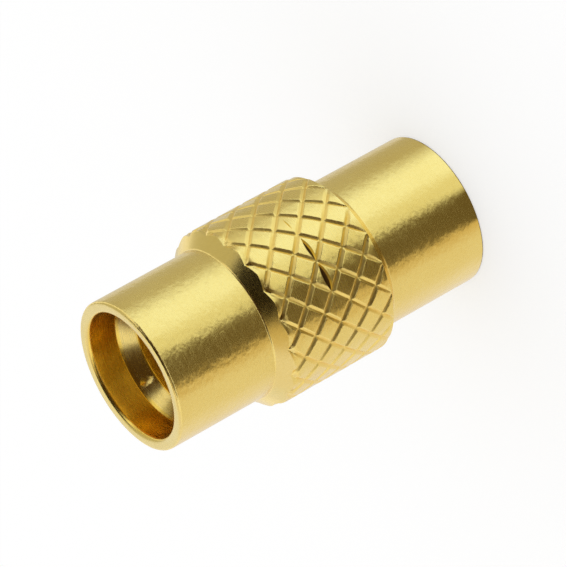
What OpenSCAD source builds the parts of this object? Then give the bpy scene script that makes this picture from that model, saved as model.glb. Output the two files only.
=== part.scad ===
// Push-fit coaxial adapter, jack to jack: a knurled turned body that carries
// one double-ended socket contact between two pressed-in insulators.
// The axis is Z and the adapter stands on its lower rim at z = 0.

/* [Body] */
// Length from rim to rim
overall_length = 11.86; // [11:0.02:14]
// Outside diameter of the two plain barrels
barrel_d = 5; // [4.85:0.05:5.6]
// Edge break on the outside of each rim
rim_break = 0.08; // [0.04:0.01:0.16]
// Outside diameter over the knurled collar
collar_d = 5.95; // [5.7:0.05:7]
// Length of the collar from shoulder foot to shoulder foot
collar_length = 4.6; // [3:0.1:5.5]
// Length along the axis of each conical shoulder
shoulder_run = 0.38; // [0.15:0.01:0.6]

/* [Knurl] */
// Number of grooves in each direction
knurl_starts = 18; // [12:1:24]
// Distance along the axis between grooves of one direction
knurl_pitch = 1; // [0.8:0.05:1.4]
// Width of a groove at the surface, square to it
knurl_groove_width = 0.19; // [0.08:0.01:0.24]
// Depth of a groove
knurl_groove_depth = 0.07; // [0.03:0.01:0.12]
// Angle from +X to a groove crossing at mid length
knurl_turn = 16; // [0:1:20]

/* [Jack bores] */
// Diameter of the wide mouth of each jack
mouth_d = 4.2; // [4:0.02:4.4]
// Edge break on the inside of each rim
mouth_break = 0.16; // [0.04:0.01:0.18]
// Depth from the rim to the end of the wide mouth
mouth_depth = 1.03; // [0.8:0.01:1.3]
// Length along the axis of the lead-in cone
lead_in_run = 0.56; // [0.3:0.01:0.8]
// Diameter of the snap bore behind the lead-in
snap_d = 3.5; // [3.3:0.02:3.7]
// Length of the narrow land between the lead-in and the snap groove
land_length = 0.5; // [0.3:0.02:0.9]
// Diameter at the bottom of the snap groove
groove_d = 3.9; // [3.75:0.05:4.2]
// Width of the snap groove at the bore
groove_width = 0.7; // [0.6:0.02:0.9]
// Depth from the rim to the seat where the insulator ends
seat_depth = 4.1; // [3.8:0.02:4.6]

/* [Insulators] */
// Diameter of the bore that holds the insulators
insulator_bore_d = 3.1; // [2.8:0.05:3.25]
// Radial play of a pressed-in insulator, in the body and on the contact
insulator_play = 0.01; // [0.005:0.005:0.03]
// Edge break on an insulator
insulator_break = 0.1; // [0.04:0.02:0.2]
// Thickness of the rib between the insulators
rib_thickness = 0.5; // [0.3:0.05:0.8]
// Diameter of the opening in the rib
rib_d = 2.4; // [2:0.05:2.7]

/* [Centre contact] */
// Outside diameter of the contact
contact_d = 0.96; // [0.84:0.02:1.2]
// Diameter of the flange that the insulators trap
flange_d = 1.6; // [1.3:0.05:1.9]
// Depth from the rim to the tip of the contact
contact_recess = 2.25; // [2:0.05:3]
// Diameter of the socket in each end
socket_d = 0.56; // [0.44:0.02:0.64]
// Depth of each socket
socket_depth = 1.9; // [1.4:0.05:2.2]
// Width of the saw cut across each socket
slot_width = 0.1; // [0.06:0.01:0.12]
// Length of the saw cut
slot_length = 1.5; // [0.8:0.05:1.8]
// Edge break at the mouth and on the outside of each socket
socket_break = 0.08; // [0.03:0.01:0.1]

/* [Hidden] */
$fn = 96;

gold = [0.84, 0.70, 0.36];
contact_gold = [0.88, 0.74, 0.40];
ptfe = [0.94, 0.94, 0.91];

// How far a cutting shape runs past the face that it cuts
overcut = 0.2;

mid_z = overall_length / 2;
barrel_r = barrel_d / 2;
collar_r = collar_d / 2;
mouth_r = mouth_d / 2;
snap_r = snap_d / 2;
land_start = mouth_depth + lead_in_run;
groove_start = land_start + land_length;
groove_flank = (groove_d - snap_d) / 2;
insulator_length = mid_z - rib_thickness / 2 - seat_depth;
contact_length = overall_length - 2 * contact_recess;

// The knurl's pads lie between groove lines at whole numbers of u and v.
// Both grow once round the collar by knurl_starts; u climbs and v falls along Z.
arc_pitch = 360 / knurl_starts;
groove_share = knurl_groove_width / 2 * norm([knurl_starts / (PI * collar_d), 1 / knurl_pitch]);
lines = [0, groove_share, 1 - groove_share];
line_count = len(lines);
knurl_columns = line_count * knurl_starts;
knurl_rings = line_count * ceil((collar_length + 2 * overcut) / knurl_pitch);

function wrap(i, n) = i - n * floor(i / n);
function line_pos(i) = floor(i / line_count) + lines[wrap(i, line_count)];
function in_groove(i) = wrap(i, line_count) == 0;

// Point of the knurled surface where u line a meets v line b
function knurl_point(a, b) =
    let (angle = knurl_turn + (line_pos(a) + line_pos(b)) * arc_pitch / 2)
    let (r = collar_r - (in_groove(a) || in_groove(b) ? knurl_groove_depth : 0))
    [r * cos(angle), r * sin(angle), (line_pos(a) - line_pos(b)) * knurl_pitch / 2];

// Place of a point in the list, which runs ring by ring of equal a - b
function knurl_index(a, b) = (a - b + knurl_rings) * knurl_columns + wrap(a, knurl_columns);

// The diagonal of a patch runs into the groove crossing at its corner,
// and along the axis on a pad.
function rises(a, b) =
    wrap(a, line_count) == wrap(b, line_count) && wrap(a, line_count) != 1;

function knurl_patch(a, b) =
    let (p00 = knurl_index(a, b))
    let (p10 = knurl_index(a + 1, b))
    let (p11 = knurl_index(a + 1, b + 1))
    let (p01 = knurl_index(a, b + 1))
    rises(a, b) ? [[p00, p10, p11], [p00, p11, p01]] : [[p00, p10, p01], [p10, p11, p01]];

// Solid rod with the diamond knurl all over, about mid length
module knurled_rod() {
    points = [
        for (ring = [-knurl_rings : knurl_rings])
            for (a = [0 : knurl_columns - 1]) knurl_point(a, a - ring),
        [0, 0, -collar_length],
        [0, 0, collar_length]
    ];
    low_hub = len(points) - 2;
    high_hub = len(points) - 1;
    patches = [
        for (ring = [1 - knurl_rings : knurl_rings - 1])
            for (a = [0 : knurl_columns - 1])
                for (face = knurl_patch(a, a - ring)) face
    ];
    low_rim = [
        for (a = [0 : knurl_columns - 1])
            for (ring = [1 - knurl_rings, -knurl_rings]) knurl_index(a, a - ring)
    ];
    high_rim = [
        for (a = [0 : knurl_columns - 1])
            each [knurl_index(a, a - knurl_rings + 1), knurl_index(a + 1, a + 1 - knurl_rings)]
    ];
    rim_count = len(low_rim);
    low_cap = [
        for (i = [0 : rim_count - 1]) [low_hub, low_rim[i], low_rim[wrap(i + 1, rim_count)]]
    ];
    high_cap = [
        for (i = [0 : rim_count - 1]) [high_hub, high_rim[wrap(i + 1, rim_count)], high_rim[i]]
    ];
    polyhedron(points, concat(patches, low_cap, high_cap));
}

// Turned shape of the collar, with its shoulders carried on into the barrel
// and out past the knurl
module collar_blank() {
    slope = shoulder_run / (collar_r - barrel_r);
    inner_r = barrel_r - overcut;
    outer_r = collar_r + overcut;
    inner_z = collar_length / 2 + overcut * slope;
    outer_z = collar_length / 2 - (outer_r - barrel_r) * slope;
    rotate_extrude()
        polygon([[0, -inner_z], [inner_r, -inner_z], [outer_r, -outer_z],
                 [outer_r, outer_z], [inner_r, inner_z], [0, inner_z]]);
}

// Plain barrel from rim to rim, with its broken edges
module barrel_blank() {
    rotate_extrude()
        polygon([[0, 0], [barrel_r - rim_break, 0], [barrel_r, rim_break],
                 [barrel_r, overall_length - rim_break],
                 [barrel_r - rim_break, overall_length], [0, overall_length]]);
}

// Space inside one jack, from beyond its rim at depth 0 to the middle of the rib.
// Depth runs along +Z.
module jack_space() {
    rotate_extrude()
        polygon([[0, -overcut],
                 [mouth_r + mouth_break, -overcut],
                 [mouth_r + mouth_break, 0],
                 [mouth_r, mouth_break],
                 [mouth_r, mouth_depth],
                 [snap_r, land_start],
                 [snap_r, groove_start],
                 [groove_d / 2, groove_start + groove_flank],
                 [groove_d / 2, groove_start + groove_width - groove_flank],
                 [snap_r, groove_start + groove_width],
                 [snap_r, seat_depth],
                 [insulator_bore_d / 2, seat_depth],
                 [insulator_bore_d / 2, seat_depth + insulator_length],
                 [rib_d / 2, seat_depth + insulator_length],
                 [rib_d / 2, mid_z + overcut / 4],
                 [0, mid_z + overcut / 4]]);
}

// Puts its children at the lower end and, turned over, at the upper end
module at_both_ends() {
    children();
    translate([0, 0, overall_length]) rotate([180, 0, 0]) children();
}

module body() {
    color(gold)
        difference() {
            union() {
                barrel_blank();
                translate([0, 0, mid_z])
                    intersection() {
                        knurled_rod();
                        collar_blank();
                    }
            }
            at_both_ends() jack_space();
        }
}

// Socket with its countersunk mouth at z = 0, as the space to cut away
module socket_space() {
    rotate_extrude()
        polygon([[0, -overcut],
                 [socket_d / 2 + socket_break, -overcut],
                 [socket_d / 2 + socket_break, 0],
                 [socket_d / 2, socket_break],
                 [socket_d / 2, socket_depth],
                 [0, socket_depth + socket_d / 4]]);
    translate([-contact_d, -slot_width / 2, -overcut])
        cube([2 * contact_d, slot_width, slot_length + overcut]);
}

module centre_contact() {
    tip_r = contact_d / 2 - socket_break;
    color(contact_gold)
        difference() {
            union() {
                translate([0, 0, contact_recess])
                    rotate_extrude()
                        polygon([[0, 0], [tip_r, 0], [contact_d / 2, socket_break],
                                 [contact_d / 2, contact_length - socket_break],
                                 [tip_r, contact_length], [0, contact_length]]);
                translate([0, 0, mid_z - rib_thickness / 2])
                    cylinder(d = flange_d, h = rib_thickness);
            }
            at_both_ends() translate([0, 0, contact_recess]) socket_space();
        }
}

// Insulator with its free face at z = 0 and its seat on the rib above
module insulator() {
    outer_r = insulator_bore_d / 2 - insulator_play;
    inner_r = contact_d / 2 + insulator_play;
    color(ptfe)
        rotate_extrude()
            polygon([[inner_r, 0],
                     [outer_r - insulator_break, 0],
                     [outer_r, insulator_break],
                     [outer_r, insulator_length - insulator_break],
                     [outer_r - insulator_break, insulator_length],
                     [inner_r, insulator_length]]);
}

module lower_insulator() {
    translate([0, 0, seat_depth]) insulator();
}

module upper_insulator() {
    translate([0, 0, overall_length - seat_depth]) rotate([180, 0, 0]) insulator();
}

body();
centre_contact();
upper_insulator();
lower_insulator();
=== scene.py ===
import bpy
import math
from functools import partial
from mathutils import Matrix, Vector


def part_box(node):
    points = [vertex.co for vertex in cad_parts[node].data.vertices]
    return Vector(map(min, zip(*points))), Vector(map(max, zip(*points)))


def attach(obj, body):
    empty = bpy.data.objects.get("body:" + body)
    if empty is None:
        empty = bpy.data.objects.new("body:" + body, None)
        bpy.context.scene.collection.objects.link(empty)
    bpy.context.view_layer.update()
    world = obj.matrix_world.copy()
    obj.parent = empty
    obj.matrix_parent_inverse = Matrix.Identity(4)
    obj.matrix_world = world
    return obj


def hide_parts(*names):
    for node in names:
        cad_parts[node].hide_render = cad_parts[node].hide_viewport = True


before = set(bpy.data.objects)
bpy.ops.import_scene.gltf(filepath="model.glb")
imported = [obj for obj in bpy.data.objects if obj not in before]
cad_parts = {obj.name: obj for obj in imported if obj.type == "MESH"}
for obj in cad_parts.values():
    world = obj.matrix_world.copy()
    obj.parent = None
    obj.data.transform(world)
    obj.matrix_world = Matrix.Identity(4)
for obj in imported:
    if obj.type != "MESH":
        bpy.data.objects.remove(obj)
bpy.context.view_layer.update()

scene = bpy.context.scene
scene.view_settings.view_transform = "Standard"

# meshes are built in millimetres and brought to metres at the end
metresPerMm = 0.001
weldGap = 0.00002     # points closer than this become one after a cut
arcSteps = 4          # flats in the rounding of an edge
arcShare = 0.45       # most of a side that one rounding takes
sharpAngle = 40       # edges that turn by more degrees stay sharp
noiseMiddle = 0.5     # the value that noise lies about

bodyLow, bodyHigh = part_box("body")
overallLength = (bodyHigh.z - bodyLow.z) / metresPerMm
midHeight = overallLength / 2


# Outlines and turned meshes

def softenOutline(corners):
    # each corner is (radius, height, trim); a trimmed corner becomes a short arc
    points = []
    for i, (r, z, trim) in enumerate(corners):
        here = Vector((r, z))
        if trim == 0:
            points.append(here)
            continue
        before = Vector(corners[i - 1][:2]) - here
        after = Vector(corners[(i + 1) % len(corners)][:2]) - here
        start = here + before.normalized() * min(trim, before.length * arcShare)
        end = here + after.normalized() * min(trim, after.length * arcShare)
        for k in range(arcSteps + 1):
            t = k / arcSteps
            points.append(start * (1 - t) ** 2 + here * 2 * t * (1 - t) + end * t ** 2)
    return points


def turnOver(corners):
    # the same corners at the upper end, in the order that carries the outline on
    return [(r, overallLength - z, trim) for r, z, trim in reversed(corners)]


def newObject(name, verts, faces):
    mesh = bpy.data.meshes.new(name)
    mesh.from_pydata(verts, [], faces)
    mesh.update()
    obj = bpy.data.objects.new(name, mesh)
    scene.collection.objects.link(obj)
    return obj


def turnOutline(name, outline, segments):
    # outline runs anticlockwise in (radius, height); points on the axis become poles
    verts, rings, faces = [], [], []
    for r, z in outline:
        count = 1 if r == 0 else segments
        rings.append([len(verts) + k for k in range(count)])
        for k in range(count):
            angle = 2 * math.pi * k / segments
            verts.append((r * math.cos(angle), r * math.sin(angle), z))
    for a, b in zip(rings, rings[1:] + rings[:1]):
        if len(a) == 1 and len(b) == 1:
            continue
        for k in range(segments):
            n = (k + 1) % segments
            ring = [a[k % len(a)], a[n % len(a)], b[n % len(b)], b[k % len(b)]]
            faces.append(list(dict.fromkeys(ring)))   # at a pole two corners are one
    return newObject(name, verts, faces)


def bakeModifiers(obj):
    bpy.context.view_layer.update()
    evaluated = obj.evaluated_get(bpy.context.evaluated_depsgraph_get())
    mesh = bpy.data.meshes.new_from_object(evaluated)
    obj.modifiers.clear()
    obj.data = mesh


def cutAway(obj, cutters):
    for cutter in cutters:
        cut = obj.modifiers.new("cut", "BOOLEAN")
        cut.operation = "DIFFERENCE"
        cut.solver = "EXACT"
        cut.object = cutter
    weld = obj.modifiers.new("weld", "WELD")   # closes the slivers that cuts leave
    weld.merge_threshold = weldGap
    bakeModifiers(obj)
    for cutter in cutters:
        bpy.data.objects.remove(cutter)


def finishPiece(obj, material, node):
    mesh = obj.data
    mesh.materials.clear()
    mesh.materials.append(material)
    mesh.polygons.foreach_set("material_index", [0] * len(mesh.polygons))
    mesh.polygons.foreach_set("use_smooth", [True] * len(mesh.polygons))
    mesh.set_sharp_from_angle(angle=math.radians(sharpAngle))
    weighted = obj.modifiers.new("faceNormals", "WEIGHTED_NORMAL")
    weighted.keep_sharp = True
    bakeModifiers(obj)
    obj.data.transform(Matrix.Scale(metresPerMm, 4))
    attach(obj, "root")
    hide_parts(node)
    triangles = sum(len(p.vertices) - 2 for p in obj.data.polygons)
    print(obj.name, triangles, "triangles")


# Small helpers for node trees

def fill(tree, socket, value):
    if isinstance(value, bpy.types.NodeSocket):
        tree.links.new(value, socket)
    else:
        socket.default_value = value


def addNode(tree, kind, **values):
    node = tree.nodes.new(kind)
    for name, value in values.items():
        fill(tree, node.inputs[name.replace("_", " ")], value)
    return node


def addMath(tree, operation, a, b=0.0, c=0.0):
    node = tree.nodes.new("ShaderNodeMath")
    node.operation = operation
    for socket, value in zip(node.inputs, (a, b, c)):
        fill(tree, socket, value)
    return node.outputs[0]


def times(tree, a, b):
    return addMath(tree, "MULTIPLY", a, b)


def average(tree, a, b):
    return times(tree, addMath(tree, "ADD", a, b), 0.5)


def addRange(tree, value, fromMin, fromMax, toMin, toMax, kind="LINEAR"):
    node = tree.nodes.new("ShaderNodeMapRange")
    node.interpolation_type = kind
    for socket, number in zip(node.inputs, (value, fromMin, fromMax, toMin, toMax)):
        fill(tree, socket, number)
    return node.outputs[0]


def addNoise(tree, place, scale, detail):
    noise = addNode(tree, "ShaderNodeTexNoise", Vector=place, Scale=scale, Detail=detail)
    return noise.outputs[0]


def addRings(tree, along, spacing, detail):
    # noise that changes along one line only
    noise = tree.nodes.new("ShaderNodeTexNoise")
    noise.noise_dimensions = "1D"
    fill(tree, noise.inputs["W"], addMath(tree, "DIVIDE", along, spacing))
    noise.inputs["Scale"].default_value = 1
    noise.inputs["Detail"].default_value = detail
    return noise.outputs[0]


def openSockets(sockets):
    # those that the node's present setting uses
    return [socket for socket in sockets if socket.enabled]


def mixColor(tree, factor, a, b):
    blend = tree.nodes.new("ShaderNodeMix")
    blend.data_type = "RGBA"
    for socket, value in zip(openSockets(blend.inputs), (factor, a, b)):
        fill(tree, socket, value)
    return openSockets(blend.outputs)[0]


def addVectorMath(tree, operation, *values):
    node = tree.nodes.new("ShaderNodeVectorMath")
    node.operation = operation
    for socket, value in zip(openSockets(node.inputs), values):
        fill(tree, socket, value)
    return openSockets(node.outputs)[0]


def objectPlace(tree):
    # the point itself, its X, Y and Z, and its distance from the axis, in metres
    place = tree.nodes.new("ShaderNodeTexCoord").outputs["Object"]
    parts = addNode(tree, "ShaderNodeSeparateXYZ", Vector=place).outputs
    squares = [times(tree, parts[axis], parts[axis]) for axis in ("X", "Y")]
    return place, parts, addMath(tree, "SQRT", addMath(tree, "ADD", *squares))


# masks that are 1 on one side of a level or between two, with a blurred edge
def above(tree, value, level, blur):
    return addRange(tree, value, level - blur, level + blur, 0.0, 1.0, "SMOOTHSTEP")


def under(tree, value, level, blur):
    return addRange(tree, value, level - blur, level + blur, 1.0, 0.0, "SMOOTHSTEP")


def between(tree, value, low, high, blur):
    return times(tree, above(tree, value, low, blur), under(tree, value, high, blur))


def outside(tree, mask):
    return addMath(tree, "SUBTRACT", 1.0, mask)


# Plating and insulator finishes

finishShape = {
    "ringSlant": 0.8,             # rings on end faces, against those along the axis
    "ringDetail": 3,
    "grainDraw": (1, 1, 1.4),     # the grain is longer round the part than along it
    "fineHeight": 0.02,           # rings and speckle, against the grain
    "driftScale": 420,
    "noiseDetail": 2,
    "noiseRange": (0.35, 0.65),   # most of the noise lies between these
}


def makePlatingFinish(f):
    # turned rings, a drawn-out grain, speckle and a slow drift of tone, for both platings
    group = bpy.data.node_groups.new("platingFinish", "ShaderNodeTree")
    face = group.interface
    for name in ("Plating", "Deep Plating"):
        face.new_socket(name, in_out="INPUT", socket_type="NodeSocketColor")
    for name in ("Ring Spacing", "Grain Size", "Speckle Size", "Smooth", "Rough"):
        face.new_socket(name, in_out="INPUT", socket_type="NodeSocketFloat")
    face.new_socket("Color", in_out="OUTPUT", socket_type="NodeSocketColor")
    for name in ("Roughness", "Height"):
        face.new_socket(name, in_out="OUTPUT", socket_type="NodeSocketFloat")
    given = group.nodes.new("NodeGroupInput").outputs
    result = group.nodes.new("NodeGroupOutput").inputs

    def noiseOf(size, spot):
        return addNoise(group, spot, addMath(group, "DIVIDE", 1.0, size), f["noiseDetail"])

    place, parts, across = objectPlace(group)
    along = addMath(group, "MULTIPLY_ADD", across, f["ringSlant"], parts["Z"])
    drawnOut = addNode(group, "ShaderNodeMapping", Vector=place, Scale=f["grainDraw"])
    rings = addRings(group, along, given["Ring Spacing"], f["ringDetail"])
    grain = noiseOf(given["Grain Size"], drawnOut.outputs[0])
    speckle = noiseOf(given["Speckle Size"], place)
    drift = addNoise(group, place, f["driftScale"], f["noiseDetail"])

    fine = times(group, addMath(group, "ADD", rings, speckle), f["fineHeight"])
    polish = average(group, rings, grain)
    tone = addRange(group, average(group, speckle, drift), *f["noiseRange"], 0.0, 1.0)
    rough = addRange(group, polish, *f["noiseRange"], given["Smooth"], given["Rough"])
    color = mixColor(group, tone, given["Plating"], given["Deep Plating"])
    group.links.new(color, result["Color"])
    group.links.new(rough, result["Roughness"])
    group.links.new(addMath(group, "ADD", grain, fine), result["Height"])
    return group


platingFinish = makePlatingFinish(finishShape)


def makePlating(name, look):
    material = bpy.data.materials.new(name)
    material.use_nodes = True
    tree = material.node_tree
    shader = tree.nodes["Principled BSDF"]
    shader.inputs["Metallic"].default_value = 1.0
    finish = tree.nodes.new("ShaderNodeGroup")
    finish.node_tree = platingFinish
    for socketName in ("Plating", "Deep Plating"):
        finish.inputs[socketName].default_value = (*look[socketName], 1)
    for socketName in ("Ring Spacing", "Grain Size", "Speckle Size", "Smooth", "Rough"):
        finish.inputs[socketName].default_value = look[socketName]
    bump = addNode(tree, "ShaderNodeBump", Strength=look["Bump"], Distance=look["Bump Height"],
                   Height=finish.outputs["Height"])
    tree.links.new(finish.outputs["Color"], shader.inputs["Base Color"])
    tree.links.new(finish.outputs["Roughness"], shader.inputs["Roughness"])
    tree.links.new(bump.outputs[0], shader.inputs["Normal"])
    return material


bodyLook = {
    "Plating": (0.95, 0.75, 0.26),
    "Deep Plating": (0.91, 0.69, 0.21),
    "Ring Spacing": 0.00005,
    "Grain Size": 0.00024,
    "Speckle Size": 0.00007,
    "Smooth": 0.22,
    "Rough": 0.29,
    "Bump": 0.7,
    "Bump Height": 0.000021,
}
bodyPlating = makePlating("bodyPlating", bodyLook)

contactLook = dict(bodyLook, **{"Plating": (0.96, 0.78, 0.32), "Smooth": 0.14, "Rough": 0.24})
contactPlating = makePlating("contactPlating", contactLook)

insulatorLook = {
    "white": (0.90, 0.90, 0.87),
    "shade": (0.82, 0.82, 0.78),
    "roughness": (0.4, 0.6),
    "ringSpacing": 0.00006,
    "ringDetail": 2,
    "bump": 0.4,
    "bumpHeight": 0.000003,
    "glowWeight": 0.15,                       # light that spreads inside
    "glowRadius": (0.0004, 0.0004, 0.0003),
    "glowScale": 0.5,
}


def makeInsulatorMaterial(look):
    material = bpy.data.materials.new("turnedInsulator")
    material.use_nodes = True
    tree = material.node_tree
    shader = tree.nodes["Principled BSDF"]
    shader.inputs["Subsurface Weight"].default_value = look["glowWeight"]
    shader.inputs["Subsurface Radius"].default_value = look["glowRadius"]
    shader.inputs["Subsurface Scale"].default_value = look["glowScale"]
    parts, across = objectPlace(tree)[1:]
    along = addMath(tree, "ADD", across, parts["Z"])
    rings = addRings(tree, along, look["ringSpacing"], look["ringDetail"])
    color = mixColor(tree, rings, (*look["white"], 1), (*look["shade"], 1))
    rough = addRange(tree, rings, 0.0, 1.0, *look["roughness"])
    bump = addNode(tree, "ShaderNodeBump", Strength=look["bump"], Distance=look["bumpHeight"],
                   Height=rings)
    tree.links.new(color, shader.inputs["Base Color"])
    tree.links.new(rough, shader.inputs["Roughness"])
    tree.links.new(bump.outputs[0], shader.inputs["Normal"])
    return material


turnedInsulator = makeInsulatorMaterial(insulatorLook)
print("finishes ready")


# Body: a turned blank whose collar is then cut by a knurl tree

bodyShape = {
    "barrelRadius": 2.5,
    "rimRound": 0.11,
    "collarRadius": 2.975,
    "collarLength": 4.6,
    "shoulderRun": 0.38,
    "footRound": 0.05,
    "crestRound": 0.05,
    "stock": 0.004,           # collar of the blank above the knurl
    "mouthRadius": 2.1,
    "mouthRound": 0.17,
    "mouthDepth": 1.03,
    "leadInRun": 0.56,
    "leadInRound": 0.03,
    "snapRadius": 1.75,
    "landLength": 0.5,
    "grooveRadius": 1.95,
    "grooveWidth": 0.7,
    "grooveRound": 0.06,      # at the bottom of the snap groove
    "lipRound": 0.04,         # at its lips and at the seat
    "seatDepth": 4.1,
    "insulatorRadius": 1.55,
    "ribRadius": 1.2,
    "ribThickness": 0.5,
    "ribRound": 0.05,
    "segments": 240,
}


def bodyCorners(s):
    slope = s["shoulderRun"] / (s["collarRadius"] - s["barrelRadius"])
    stockRadius = s["collarRadius"] + s["stock"]
    footZ = midHeight - s["collarLength"] / 2
    crestZ = footZ + (stockRadius - s["barrelRadius"]) * slope
    landStart = s["mouthDepth"] + s["leadInRun"]
    grooveStart = landStart + s["landLength"]
    grooveEnd = grooveStart + s["grooveWidth"]
    flank = s["grooveRadius"] - s["snapRadius"]
    ribZ = midHeight - s["ribThickness"] / 2
    outer = [
        (s["mouthRadius"], 0, s["mouthRound"]),
        (s["barrelRadius"], 0, s["rimRound"]),
        (s["barrelRadius"], footZ, s["footRound"]),
        (stockRadius, crestZ, s["crestRound"]),
    ]
    inner = [
        (s["ribRadius"], ribZ, s["ribRound"]),
        (s["insulatorRadius"], ribZ, 0),
        (s["insulatorRadius"], s["seatDepth"], s["lipRound"]),
        (s["snapRadius"], s["seatDepth"], 0),
        (s["snapRadius"], grooveEnd, s["lipRound"]),
        (s["grooveRadius"], grooveEnd - flank, s["grooveRound"]),
        (s["grooveRadius"], grooveStart + flank, s["grooveRound"]),
        (s["snapRadius"], grooveStart, s["lipRound"]),
        (s["snapRadius"], landStart, s["leadInRound"]),
        (s["mouthRadius"], s["mouthDepth"], s["leadInRound"]),
    ]
    return outer + turnOver(outer) + turnOver(inner) + inner


# inputs of the knurl tree
knurlShape = {
    "Starts": 18,
    "Rings": 13,
    "Pitch": 1.0,
    "Radius": bodyShape["collarRadius"],
    "Groove Width": 0.185,
    "Groove Depth": 0.07,
    "Cross Width": 0.160,     # the grooves of the other direction
    "Cross Depth": 0.060,
    "Groove Hollow": 1.2,     # 1 makes a V, more a rounder bottom
    "Upper Flare": 0.12,      # how far pads fall away at the shoulders
    "Lower Flare": 0.05,
    "Flare Start": 1.74,
    "Flare End": 1.95,
    "Wobble": 0.035,
    "Pad Dent": 0.012,
    "Turn": math.radians(16),
    "Middle": midHeight,
    "Outer Radius": 4.0,
}

padMesh = {
    "cells": 16,              # along each side of a pad
    "wallCells": 5,           # of these, beside a groove line
    "wallReach": 1.3,         # half groove widths that they span
    "lipBlend": 0.2,          # rounding of a groove's lip, as a share of its depth
    "crossBlend": 0.007,      # rounding where two grooves cross
    "weld": 0.0005,
    "dentScale": 1.1,
    "dentDetail": 2,
    "dentRange": (0.3, 0.7),
    "wobbleScale": 1.7,
    "wobbleDetail": 1,
}


def makePad(tree, given, m):
    # one pad on a grid, between its groove lines, bent to the collar's radius
    calc = partial(addMath, tree)

    # groove lines per millimetre, square to them
    turnsPerMm = calc("DIVIDE", given["Starts"], calc("MULTIPLY", given["Radius"], 2 * math.pi))
    ridgesPerMm = calc("DIVIDE", 1.0, given["Pitch"])
    sideways = calc("SQRT", calc("ADD", calc("MULTIPLY", turnsPerMm, turnsPerMm),
                                 calc("MULTIPLY", ridgesPerMm, ridgesPerMm)))

    lines = m["cells"] + 1
    grid = addNode(tree, "GeometryNodeMeshGrid", Size_X=1.0, Size_Y=1.0,
                   Vertices_X=lines, Vertices_Y=lines)
    place = tree.nodes.new("GeometryNodeInputPosition").outputs[0]
    cell = addNode(tree, "ShaderNodeSeparateXYZ", Vector=place).outputs
    halfCell = 0.5                              # the grid is 1 wide, about 0
    wallShare = m["wallCells"] / m["cells"]

    def padLine(x, width, deep):
        # place across the pad, and depth from the distance to the nearest groove line;
        # grid lines are close together up to wallEnd
        halfWidth = calc("MULTIPLY", width, 0.5)
        share = calc("MULTIPLY", halfWidth, sideways)
        wallEnd = calc("MULTIPLY", share, m["wallReach"])
        fromEdge = calc("SUBTRACT", halfCell, calc("ABSOLUTE", x))
        near = addRange(tree, fromEdge, 0.0, wallShare, 0.0, wallEnd)
        topWidth = calc("SUBTRACT", halfCell, wallEnd)
        far = addRange(tree, fromEdge, wallShare, halfCell, 0.0, topWidth)
        distance = calc("ADD", near, far)
        spread = calc("MULTIPLY", calc("SIGN", x), calc("SUBTRACT", halfCell, distance))
        side = calc("POWER", calc("DIVIDE", distance, share), given["Groove Hollow"])
        wall = calc("SMOOTH_MAX", calc("SUBTRACT", 1.0, side), 0.0, m["lipBlend"])
        return spread, calc("MULTIPLY", deep, wall)

    u, uDepth = padLine(cell["X"], given["Groove Width"], given["Groove Depth"])
    v, vDepth = padLine(cell["Y"], given["Cross Width"], given["Cross Depth"])
    depth = calc("SMOOTH_MAX", uDepth, vDepth, m["crossBlend"])
    angle = calc("MULTIPLY", calc("ADD", u, v), calc("DIVIDE", math.pi, given["Starts"]))
    height = calc("MULTIPLY", calc("SUBTRACT", u, v), calc("MULTIPLY", given["Pitch"], 0.5))
    radius = calc("SUBTRACT", given["Radius"], depth)
    bent = addNode(tree, "ShaderNodeCombineXYZ",
                   X=calc("MULTIPLY", radius, calc("COSINE", angle)),
                   Y=calc("MULTIPLY", radius, calc("SINE", angle)), Z=height)
    return addNode(tree, "GeometryNodeSetPosition", Geometry=grid.outputs["Mesh"],
                   Position=bent.outputs[0]).outputs[0]


def repeatPad(tree, given, m, pad):
    # one point per pad, index = ring + Rings * column, then all pads in one skin
    calc = partial(addMath, tree)

    stepAngle = calc("DIVIDE", math.pi, given["Starts"])
    halfPitch = calc("MULTIPLY", given["Pitch"], 0.5)
    index = tree.nodes.new("GeometryNodeInputIndex").outputs[0]
    safeIndex = calc("ADD", index, 0.5)     # clear of the steps between columns
    column = calc("FLOOR", calc("DIVIDE", safeIndex, given["Rings"]))
    middleRing = calc("MULTIPLY", calc("SUBTRACT", given["Rings"], 1.0), 0.5)
    ring = calc("SUBTRACT", index, calc("MULTIPLY", column, given["Rings"]))
    ring = calc("SUBTRACT", ring, middleRing)
    spin = calc("MULTIPLY", calc("SUBTRACT", calc("MULTIPLY", column, 2.0), ring), stepAngle)
    spin = calc("ADD", calc("ADD", spin, stepAngle), given["Turn"])
    rise = calc("MULTIPLY_ADD", ring, halfPitch, given["Middle"])
    points = addNode(tree, "GeometryNodePoints",
                     Count=calc("MULTIPLY", given["Starts"], given["Rings"]),
                     Position=addNode(tree, "ShaderNodeCombineXYZ", Z=rise).outputs[0])
    turn = addNode(tree, "FunctionNodeEulerToRotation",
                   Euler=addNode(tree, "ShaderNodeCombineXYZ", Z=spin).outputs[0])
    pads = addNode(tree, "GeometryNodeInstanceOnPoints", Points=points.outputs[0],
                   Instance=pad, Rotation=turn.outputs[0])
    loose = addNode(tree, "GeometryNodeRealizeInstances", Geometry=pads.outputs[0])
    return addNode(tree, "GeometryNodeMergeByDistance", Geometry=loose.outputs[0],
                   Distance=m["weld"]).outputs[0]


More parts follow.
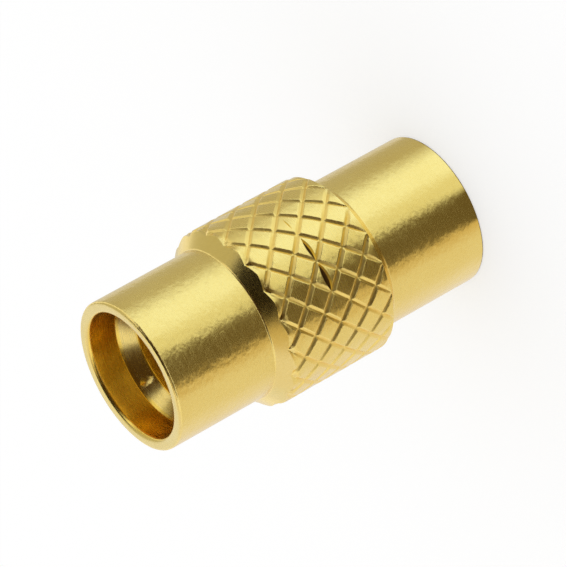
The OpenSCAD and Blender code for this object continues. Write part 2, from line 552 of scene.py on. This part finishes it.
def roughenSkin(tree, given, m, skin, place, outwards, size):
    # pads fall away at the shoulders, are a little dented, and grooves run unevenly
    calc = partial(addMath, tree)

    # groove lines lie at even numbers of swing + steps and of swing - steps
    spot = addNode(tree, "ShaderNodeSeparateXYZ", Vector=place).outputs
    swing = calc("SUBTRACT", calc("ARCTAN2", spot["Y"], spot["X"]), given["Turn"])
    swing = calc("DIVIDE", swing, calc("DIVIDE", math.pi, given["Starts"]))
    climb = calc("SUBTRACT", spot["Z"], given["Middle"])
    steps = calc("DIVIDE", climb, calc("MULTIPLY", given["Pitch"], 0.5))

    def fromGroove(total):
        return calc("ABSOLUTE", calc("SINE", calc("MULTIPLY", total, math.pi / 2)))

    def flareAt(end, most):
        return addRange(tree, end, given["Flare Start"], given["Flare End"], 0.0, most,
                        "SMOOTHSTEP")

    # between the grooves the flare is least, which leaves a wavy edge at the shoulders
    onPad = calc("MINIMUM", fromGroove(calc("ADD", swing, steps)),
                 fromGroove(calc("SUBTRACT", swing, steps)))
    flare = calc("ADD", flareAt(climb, given["Upper Flare"]),
                 flareAt(calc("MULTIPLY", climb, -1.0), given["Lower Flare"]))
    flare = calc("MULTIPLY", flare, outside(tree, onPad))
    sunkAlready = calc("SUBTRACT", given["Radius"], size)
    flare = calc("MAXIMUM", calc("SUBTRACT", flare, sunkAlready), 0.0)

    padShare = addRange(tree, sunkAlready, 0.0, given["Groove Depth"], 1.0, 0.0)
    dent = addRange(tree, addNoise(tree, place, m["dentScale"], m["dentDetail"]),
                    *m["dentRange"], 0.0, given["Pad Dent"])
    sunk = calc("MULTIPLY", dent, calc("MULTIPLY", padShare, -1.0))
    sink = addVectorMath(tree, "SCALE", outwards, calc("SUBTRACT", sunk, flare))
    skin = addNode(tree, "GeometryNodeSetPosition", Geometry=skin, Offset=sink).outputs[0]

    drift = addNoise(tree, place, m["wobbleScale"], m["wobbleDetail"])
    swerve = calc("MULTIPLY", calc("SUBTRACT", drift, noiseMiddle), given["Wobble"])
    aside = addVectorMath(tree, "CROSS_PRODUCT", outwards, (0, 0, 1))
    shift = addVectorMath(tree, "SCALE", aside, swerve)
    return addNode(tree, "GeometryNodeSetPosition", Geometry=skin, Offset=shift).outputs[0]


def makeKnurlTree(m):
    # cuts a collar down to diamond pads: one pad is shaped on a grid, repeated
    # round the collar and along it, thickened outwards and taken from the blank
    tree = bpy.data.node_groups.new("diamondKnurl", "GeometryNodeTree")
    face = tree.interface
    face.new_socket("Blank", in_out="INPUT", socket_type="NodeSocketGeometry")
    for name in knurlShape:
        kind = "NodeSocketInt" if name in ("Starts", "Rings") else "NodeSocketFloat"
        face.new_socket(name, in_out="INPUT", socket_type=kind)
    face.new_socket("Plating", in_out="INPUT", socket_type="NodeSocketMaterial")
    face.new_socket("Body", in_out="OUTPUT", socket_type="NodeSocketGeometry")
    given = tree.nodes.new("NodeGroupInput").outputs
    result = tree.nodes.new("NodeGroupOutput").inputs

    place = tree.nodes.new("GeometryNodeInputPosition").outputs[0]
    flat = addVectorMath(tree, "MULTIPLY", place, (1, 1, 0))
    outwards = addVectorMath(tree, "NORMALIZE", flat)
    size = addVectorMath(tree, "LENGTH", flat)
    skin = repeatPad(tree, given, m, makePad(tree, given, m))
    skin = roughenSkin(tree, given, m, skin, place, outwards, size)

    # the skin faces the axis; its turned copy is pushed out to a plain ring
    turned = addNode(tree, "GeometryNodeFlipFaces", Mesh=skin)
    pushed = addNode(tree, "GeometryNodeExtrudeMesh", Mesh=turned.outputs[0],
                     Offset=outwards, Individual=False,
                     Offset_Scale=addMath(tree, "SUBTRACT", given["Outer Radius"], size))
    joined = tree.nodes.new("GeometryNodeJoinGeometry")
    tree.links.new(pushed.outputs["Mesh"], joined.inputs[0])
    tree.links.new(skin, joined.inputs[0])
    cutter = addNode(tree, "GeometryNodeMergeByDistance", Geometry=joined.outputs[0],
                     Distance=m["weld"])

    cut = tree.nodes.new("GeometryNodeMeshBoolean")
    cut.operation = "DIFFERENCE"
    cut.solver = "MANIFOLD"
    tree.links.new(given["Blank"], cut.inputs["Mesh 1"])
    tree.links.new(cutter.outputs[0], cut.inputs["Mesh 2"])
    whole = addNode(tree, "GeometryNodeRealizeInstances", Geometry=cut.outputs["Mesh"])
    plated = addNode(tree, "GeometryNodeSetMaterial", Geometry=whole.outputs[0],
                     Material=given["Plating"])
    tree.links.new(plated.outputs[0], result["Body"])
    return tree


def applyTree(obj, tree, values):
    modifier = obj.modifiers.new(tree.name, "NODES")
    modifier.node_group = tree
    for item in tree.interface.items_tree:
        if item.in_out == "INPUT" and item.name in values:
            modifier[item.identifier] = values[item.name]
    bakeModifiers(obj)


body = turnOutline("knurledBody", softenOutline(bodyCorners(bodyShape)), bodyShape["segments"])
applyTree(body, makeKnurlTree(padMesh), dict(knurlShape, Plating=bodyPlating))
print("knurled collar cut,", len(body.data.polygons), "faces")


# Wear and painted shade on the body

# knocks that a thin edge left across three pads, each an angle from +X and a depth
nickShape = {
    "places": [(-95, 0.19), (-76, 0.14), (-54.5, 0.045)],
    "edgeRadius": 1.2,
    "flare": 0.65,     # half width over depth
}

# score across the lead-in cone of the upper mouth
scoreShape = {"angle": 100.5, "depth": 0.06, "edgeRadius": 0.58, "flare": 2.35}


bladeSegments = 64


def makeBlade(s):
    # turned about its own middle, with a sharp edge all round
    half = s["edgeRadius"] * s["flare"]
    outline = [Vector((0, -half)), Vector((s["edgeRadius"], 0)), Vector((0, half))]
    return turnOutline("blade", outline, bladeSegments)


def makeNick(angle, depth, s):
    blade = makeBlade(s)
    reach = bodyShape["collarRadius"] - depth + s["edgeRadius"]
    turn = math.radians(angle)
    place = (reach * math.cos(turn), reach * math.sin(turn), midHeight)
    blade.data.transform(Matrix.Translation(place))
    return blade


def makeScore(s, b):
    drop = b["mouthRadius"] - b["snapRadius"]
    slant = Vector((b["leadInRun"], drop)).normalized()
    radius = (b["mouthRadius"] + b["snapRadius"]) / 2
    height = overallLength - b["mouthDepth"] - b["leadInRun"] / 2
    lift = s["edgeRadius"] - s["depth"]
    blade = makeBlade(s)
    blade.data.transform(Matrix.Rotation(math.radians(90), 4, "X"))   # its plane holds the axis
    place = Matrix.Translation((radius - slant.x * lift, 0, height + slant.y * lift))
    blade.data.transform(Matrix.Rotation(math.radians(s["angle"]), 4, "Z") @ place)
    return blade


nicks = [makeNick(angle, depth, nickShape) for angle, depth in nickShape["places"]]
cutAway(body, nicks + [makeScore(scoreShape, bodyShape)])
print("nicks and score cut")

# bounds in millimetres or in degrees from +X, each with its blur last
bodyWearAndShade = {
    "grainRadius": (2.40, 0.05),            # the grain is outside this only
    "shoulderBlur": 0.04,
    "quiet": 0.12,                          # share of the grain on shoulders and in bores
    "padLean": 0.00012,                     # metres, each pad its own way
    "padEdge": (0.41, 0.05),                # share of a pad's side
    "padHalf": (1.70, 0.15),
    "grooveShadeColor": (0.96, 0.72, 0.21),      # in the knurl's grooves, a little deeper gold than the plating: a faint painted shade
    "grooveRough": 0.11,
    "grooveDepth": (0.012, 0.5, 0.006),
    "grooveHalf": (1.84, 0.06),
    "nickShadeColor": (0.27, 0.17, 0.06),        # painted shade: dark brown at the bottoms of the nicks
    "nickRough": 0.35,
    "nickShadeDepth": (0.076, 0.5, 0.010),
    "nickShadeHalf": (0.14, 0.02),
    "nickShadeTurn": (-110, -58, 3),
    "boreShadeColor": (0.97, 0.68, 0.13),        # mouths and bores, painted a redder gold than the plating: painted shade for light that bounces between the gold walls
    "mouthRadii": (2.04, 2.14, 0.02),
    "boreRadius": (1.78, 0.02),
}


def addPadLean(tree, wearAndShade, knurl, bumpHeight, turn, climb, fromMiddle):
    # each pad leans its own way, in the bump's height only;
    # u and v count the grooves of the two directions, as the knurl tree does
    padMiddle, fullTurn = 0.5, 360
    swing = addMath(tree, "SUBTRACT", turn, math.degrees(knurl["Turn"]))
    swing = times(tree, swing, knurl["Starts"] / fullTurn)
    steps = times(tree, climb, 1 / knurl["Pitch"])
    number = tree.nodes.new("ShaderNodeCombineXYZ")
    offsets, inside = [], under(tree, fromMiddle, *wearAndShade["padHalf"])
    for axis, operation in (("X", "ADD"), ("Y", "SUBTRACT")):
        count = addMath(tree, operation, swing, steps)
        pad = addMath(tree, "FLOORED_MODULO", addMath(tree, "FLOOR", count), knurl["Starts"])
        tree.links.new(pad, number.inputs[axis])
        offset = addMath(tree, "SUBTRACT", addMath(tree, "FRACT", count), padMiddle)
        offsets.append(offset)
        onPad = under(tree, addMath(tree, "ABSOLUTE", offset), *wearAndShade["padEdge"])
        inside = times(tree, inside, onPad)
    chance = addNode(tree, "ShaderNodeTexWhiteNoise", Vector=number.outputs[0])
    slopes = addNode(tree, "ShaderNodeSeparateXYZ", Vector=chance.outputs["Color"]).outputs
    leans = [times(tree, addMath(tree, "SUBTRACT", slopes[axis], noiseMiddle), offset)
             for axis, offset in zip(("X", "Y"), offsets)]
    lean = times(tree, addMath(tree, "ADD", *leans), inside)
    return times(tree, lean, wearAndShade["padLean"] / bumpHeight)


def addWearAndShade(material, look, wearAndShade, s, knurl):
    # pads that lean, painted shade in the mouths and bores (a redder gold), in the grooves (a
    # slightly deeper gold) and at the bottoms of the nicks (dark brown), rougher grooves and
    # nicks, and hardly any grain on the shoulders, in the grooves and in the bores
    tree = material.node_tree
    shader = tree.nodes["Principled BSDF"].inputs
    parts, metresAcross = objectPlace(tree)[1:]
    across = addMath(tree, "DIVIDE", metresAcross, metresPerMm)
    turn = addMath(tree, "DEGREES", addMath(tree, "ARCTAN2", parts["Y"], parts["X"]))
    depth = addMath(tree, "SUBTRACT", s["collarRadius"], across)
    climb = addMath(tree, "SUBTRACT", addMath(tree, "DIVIDE", parts["Z"], metresPerMm), midHeight)
    fromMiddle = addMath(tree, "ABSOLUTE", climb)

    # painted shade: the mouths and bores take a redder gold than the plating
    bore = addMath(tree, "ADD", between(tree, across, *wearAndShade["mouthRadii"]),
                   under(tree, across, *wearAndShade["boreRadius"]))
    # the groove mask carries a faint painted shade, more roughness and less grain
    groove = times(tree, between(tree, depth, *wearAndShade["grooveDepth"]),
                   under(tree, fromMiddle, *wearAndShade["grooveHalf"]))
    nearNicks = times(tree, under(tree, fromMiddle, *wearAndShade["nickShadeHalf"]),
                      between(tree, turn, *wearAndShade["nickShadeTurn"]))
    # painted shade: the bottom of each nick is coloured dark brown
    nickShade = times(tree, between(tree, depth, *wearAndShade["nickShadeDepth"]), nearNicks)
    color = shader["Base Color"].links[0].from_socket
    for mask, name in ((bore, "boreShadeColor"), (groove, "grooveShadeColor"), (nickShade, "nickShadeColor")):
        color = mixColor(tree, mask, color, (*wearAndShade[name], 1))
    tree.links.new(color, shader["Base Color"])

    rough = shader["Roughness"].links[0].from_socket
    for mask, name in ((groove, "grooveRough"), (nickShade, "nickRough")):
        rough = addMath(tree, "MULTIPLY_ADD", mask, wearAndShade[name], rough)
    tree.links.new(rough, shader["Roughness"])

    collarEnd = s["collarLength"] / 2
    shoulder = between(tree, fromMiddle, collarEnd - s["shoulderRun"], collarEnd,
                       wearAndShade["shoulderBlur"])
    grainy = above(tree, across, *wearAndShade["grainRadius"])
    for mask in (shoulder, groove):
        grainy = times(tree, grainy, outside(tree, mask))
    bump = tree.nodes["Bump"].inputs
    strength = addRange(tree, grainy, 0.0, 1.0, wearAndShade["quiet"] * look["Bump"], look["Bump"])
    tree.links.new(strength, bump["Strength"])
    lean = addPadLean(tree, wearAndShade, knurl, look["Bump Height"], turn, climb, fromMiddle)
    tree.links.new(addMath(tree, "ADD", bump["Height"].links[0].from_socket, lean), bump["Height"])


addWearAndShade(bodyPlating, bodyLook, bodyWearAndShade, bodyShape, knurlShape)
finishPiece(body, bodyPlating, "body")


# Centre contact with a slotted socket in each end

contactShape = {
    "radius": 0.48,
    "recess": 2.25,
    "flangeRadius": 0.8,
    "flangeThickness": 0.5,
    "flangeRound": 0.03,
    "socketRadius": 0.28,
    "socketDepth": 1.9,
    "edge": 0.06,
    "slotWidth": 0.1,
    "slotLength": 1.5,
    "sawReach": 1.0,      # from the axis, past the contact on both sides
    "segments": 96,
}


def contactCorners(s):
    tip = s["recess"]
    bottom = tip + s["socketDepth"]
    flangeZ = midHeight - s["flangeThickness"] / 2
    outer = [
        (0, bottom + s["socketRadius"] / 2, 0),
        (s["socketRadius"], bottom, 0),
        (s["socketRadius"], tip, s["edge"]),
        (s["radius"], tip, s["edge"]),
        (s["radius"], flangeZ, 0),
        (s["flangeRadius"], flangeZ, s["flangeRound"]),
    ]
    return outer + turnOver(outer)


def makeSaw(name, s, low, high):
    reach, half = s["sawReach"], s["slotWidth"] / 2
    corners = [(x, y, z) for z in (low, high) for y in (-half, half) for x in (-reach, reach)]
    faces = [(0, 2, 3, 1), (4, 5, 7, 6), (0, 1, 5, 4), (2, 6, 7, 3), (0, 4, 6, 2), (1, 3, 7, 5)]
    return newObject(name, corners, faces)


contact = turnOutline("centreContact", softenOutline(contactCorners(contactShape)),
                      contactShape["segments"])
sawEnd = contactShape["recess"] + contactShape["slotLength"]
cutAway(contact, [
    makeSaw("lowerSaw", contactShape, 0, sawEnd),
    makeSaw("upperSaw", contactShape, overallLength - sawEnd, overallLength),
])
finishPiece(contact, contactPlating, "centre_contact")


# Two white insulators

insulatorShape = {
    "outerRadius": 1.54,
    "innerRadius": 0.49,
    "edge": 0.09,
    "segments": 128,
}


def makeInsulator(name, node, s):
    low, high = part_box(node)
    bottom, top = low.z / metresPerMm, high.z / metresPerMm
    corners = [
        (s["innerRadius"], bottom, 0),
        (s["outerRadius"], bottom, s["edge"]),
        (s["outerRadius"], top, s["edge"]),
        (s["innerRadius"], top, 0),
    ]
    piece = turnOutline(name, softenOutline(corners), s["segments"])
    finishPiece(piece, turnedInsulator, node)


makeInsulator("upperInsulator", "upper_insulator", insulatorShape)
makeInsulator("lowerInsulator", "lower_insulator", insulatorShape)


# Floor, reflector cards and sky

stageShape = {
    "floorHalf": 1.5,
    "floorTone": 0.45,
    "cardHeight": 0.00002,
    "fanStep": 0.5,
    "fanLength": 0.09,
    # cards that the barrels mirror: first and last angle round the axis, in degrees from
    # the camera's side, and colour; a gap between two cards blends from one to the other
    "cards": [
        (-88, -73, (0.72, 0.72, 0.74)),   # pale wall
        (-69, -48, (0.51, 0.49, 0.42)),   # grey card
        (-34, -20, (1.03, 1.15, 1.30)),   # window
        (-12, -4, (0.85, 0.88, 0.78)),    # beside the window
        (1, 21, (0.14, 0.11, 0.057)),     # dark camera side
        (24, 25, (0.70, 0.57, 0.34)),     # amber edge
        (35, 50, (0.81, 0.78, 0.72)),     # warm card
        (60, 88, (0.86, 0.85, 0.95)),     # cool wall
    ],
    "ringInner": 2.30,    # dark ring under the lower rim that only reflections show: a painted contact shadow, which the rim mirrors as a dark line
    "ringOuter": 2.57,
    "ringSteps": 96,
    "ringShadowColor": (0.10, 0.075, 0.03),
    "skyStrength": 1.0,
}


def emptyMaterial(name):
    material = bpy.data.materials.new(name)
    material.use_nodes = True
    material.node_tree.nodes.remove(material.node_tree.nodes["Principled BSDF"])
    return material, material.node_tree


def addStage(name, verts, faces, material):
    obj = newObject(name, verts, faces)
    obj.data.materials.append(material)
    return obj


def addReflector(name, verts, faces, color):
    # glows plainly, and only reflections show it
    material, tree = emptyMaterial(name)
    glow = addNode(tree, "ShaderNodeEmission", Color=(*color, 1), Strength=1.0)
    tree.links.new(glow.outputs[0], tree.nodes["Material Output"].inputs["Surface"])
    obj = addStage(name, verts, faces, material)
    obj.visible_camera = False
    obj.visible_diffuse = False
    obj.visible_shadow = False
    return obj


def backgroundRay(tree):
    # 1 for rays that show the background, seen directly or in metal
    light = tree.nodes.new("ShaderNodeLightPath").outputs
    seen = addMath(tree, "MAXIMUM", light["Is Camera Ray"], light["Is Glossy Ray"])
    return addMath(tree, "MAXIMUM", seen, light["Is Transmission Ray"])


def addFloor(name, s):
    material, tree = emptyMaterial("paleFloor")
    tone = s["floorTone"]
    paint = addNode(tree, "ShaderNodeBsdfDiffuse", Color=(tone, tone, tone, 1))
    lift = times(tree, backgroundRay(tree), 1 - tone)
    glow = addNode(tree, "ShaderNodeEmission", Color=(1, 1, 1, 1), Strength=lift)
    both = tree.nodes.new("ShaderNodeAddShader")
    tree.links.new(paint.outputs[0], both.inputs[0])
    tree.links.new(glow.outputs[0], both.inputs[1])
    tree.links.new(both.outputs[0], tree.nodes["Material Output"].inputs["Surface"])
    h = s["floorHalf"]
    addStage(name, [(-h, -h, 0), (h, -h, 0), (h, h, 0), (-h, h, 0)], [(0, 1, 2, 3)], material)


def toneAt(angle, cards):
    stops = [stop for first, last, color in cards for stop in ((first, color), (last, color))]
    for (low, lowColor), (high, highColor) in zip(stops, stops[1:]):
        if angle <= high:
            return Vector(lowColor).lerp(Vector(highColor), (angle - low) / (high - low))
    return Vector(stops[-1][1])


def addFan(name, s):
    # lies on the floor, where each line of the barrels mirrors its own strip of it
    radius = bodyShape["barrelRadius"] * metresPerMm
    first, last = s["cards"][0][0], s["cards"][-1][1]
    count = round((last - first) / s["fanStep"])
    verts, colors, faces = [], [], []
    for k in range(count + 1):
        degrees = first + (last - first) * k / count
        angle = math.radians(degrees)
        foot = Vector((-math.sin(angle), -math.cos(angle), 0)) * radius
        foot.z = s["cardHeight"]
        away = Vector((-math.sin(2 * angle), -math.cos(2 * angle), 0)) * s["fanLength"]
        verts += [foot, foot + away]
        colors += [(*toneAt(degrees, s["cards"]), 1)] * 2
        if k:
            faces.append((2 * k - 2, 2 * k - 1, 2 * k + 1, 2 * k))
    fan = addReflector(name, verts, faces, (1, 1, 1))
    layer = fan.data.color_attributes.new("tone", "FLOAT_COLOR", "POINT")
    for spot, color in zip(layer.data, colors):
        spot.color = color
    tree = fan.data.materials[0].node_tree
    tone = tree.nodes.new("ShaderNodeVertexColor")
    tone.layer_name = layer.name
    tree.links.new(tone.outputs["Color"], tree.nodes["Emission"].inputs["Color"])


# a dark ring under the lower rim, seen only in reflections: a painted contact shadow
def addRing(name, s):
    steps = s["ringSteps"]
    verts, faces = [], []
    for k in range(steps):
        angle = 2 * math.pi * k / steps
        for radius in (s["ringInner"], s["ringOuter"]):
            verts.append(Vector((math.cos(angle), math.sin(angle), 0)) * radius * metresPerMm)
            verts[-1].z = s["cardHeight"] / 2      # under the fan
        n = (k + 1) % steps
        faces.append((2 * k, 2 * k + 1, 2 * n + 1, 2 * n))
    addReflector(name, verts, faces, s["ringShadowColor"])


# parts of a dome: each climbs along a great circle from start to top; reach has three
# rows of a height, then degrees to the +X side and to the -X side
screenRows, screenColumns = 24, 16
screens = {
    "browScreen": {
        "color": (0.056, 0.031, 0.012),
        "radius": 0.30,
        "start": (-0.10, -0.99, 0),
        "top": (0.10, -0.05, 0.99),
        "reach": [(6, 76, 56), (40, 60, 44), (64, 33, 27)],
    },
    "crownScreen": {
        "color": (0.008, 0.006, 0.004),
        "radius": 0.29,
        "start": (0.16, -0.98, 0),
        "top": (0.17, -0.10, 0.98),
        "reach": [(60, 26, 29), (80, 25, 27), (106, 23, 24)],
    },
    "emberScreen": {                          # a strip on the crown's -X side
        "color": (0.66, 0.54, 0.31),
        "radius": 0.295,
        "start": (0.16, -0.98, 0),
        "top": (0.17, -0.10, 0.98),
        "reach": [(60, -26, 44), (80, -25, 44), (106, -22, 42)],
    },
    "greyScreen": {
        "color": (0.55, 0.53, 0.44),
        "radius": 0.32,
        "start": (0.77, 0.64, 0),
        "top": (0, 0, 1),
        "reach": [(14, 55, 55), (35, 45, 45), (60, 20, 20)],
    },
    "coolScreen": {
        "color": (0.83, 0.87, 1.08),
        "radius": 0.28,
        "start": (-0.2, 0.98, 0),
        "top": (0, 0, 1),
        "reach": [(12, 30, 30), (25, 30, 30), (42, 25, 25)],
    },
    "warmScreen": {
        "color": (0.84, 0.82, 0.92),
        "radius": 0.34,
        "start": (-0.80, 0.60, 0),
        "top": (-0.2, 0, 0.98),
        "reach": [(5, 30, 30), (30, 35, 35), (72, 20, 20)],
    },
}


def addScreen(name, s):
    start, top = Vector(s["start"]).normalized(), Vector(s["top"]).normalized()
    sideways = start.cross(top).normalized()
    climb = sideways.cross(start).normalized()
    low, middle, high = (Vector(reach) for reach in s["reach"])
    verts, faces = [], []
    for i in range(screenRows + 1):
        angle = low[0] + (high[0] - low[0]) * i / screenRows
        if angle < middle[0]:
            reach = low.lerp(middle, (angle - low[0]) / (middle[0] - low[0]))
        else:
            reach = middle.lerp(high, (angle - middle[0]) / (high[0] - middle[0]))
        spine = start * math.cos(math.radians(angle)) + climb * math.sin(math.radians(angle))
        for j in range(screenColumns + 1):
            lean = math.radians(-reach[1] + (reach[1] + reach[2]) * j / screenColumns)
            verts.append((spine * math.cos(lean) + sideways * math.sin(lean)) * s["radius"])
    across = screenColumns + 1
    for i in range(screenRows):
        for j in range(screenColumns):
            a = i * across + j
            faces.append((a, a + 1, a + across + 1, a + across))
    addReflector(name, verts, faces, s["color"])


def makeSky(strength):
    world = bpy.data.worlds.new("studioSky")
    scene.world = world
    world.use_nodes = True
    background = world.node_tree.nodes["Background"]
    background.inputs["Color"].default_value = (1, 1, 1, 1)
    background.inputs["Strength"].default_value = strength


addFloor("floor", stageShape)
addFan("floorFan", stageShape)
addRing("footShadowRing", stageShape)
for screenName, screenShape in screens.items():
    addScreen(screenName, screenShape)
makeSky(stageShape["skyStrength"])
print("stage ready")


# Camera at the photograph's angle; the part stands, so the camera is rolled

cameraShape = {
    "elevation": 26.75,
    "roll": 119.02,
    "distance": 0.14138,
    "nearest": 0.001,
    "lens": 293.4,
    "sensor": 36.0,
    "aimRight": 0.0000015,
    "aimDown": 0.000243,
}


def makeCamera(s):
    data = bpy.data.cameras.new("camera")
    data.lens = s["lens"]
    data.sensor_width = s["sensor"]
    data.clip_start = s["nearest"]
    camera = bpy.data.objects.new("camera", data)
    scene.collection.objects.link(camera)
    turn = (Matrix.Rotation(math.radians(90 - s["elevation"]), 4, "X")
            @ Matrix.Rotation(math.radians(-s["roll"]), 4, "Z"))
    right, up, back = (turn.col[k].to_3d() for k in range(3))
    centre = Vector((0, 0, midHeight * metresPerMm))
    place = centre + back * s["distance"] - right * s["aimRight"] + up * s["aimDown"]
    camera.matrix_world = Matrix.Translation(place) @ turn
    scene.camera = camera


makeCamera(cameraShape)

print("scene ready")
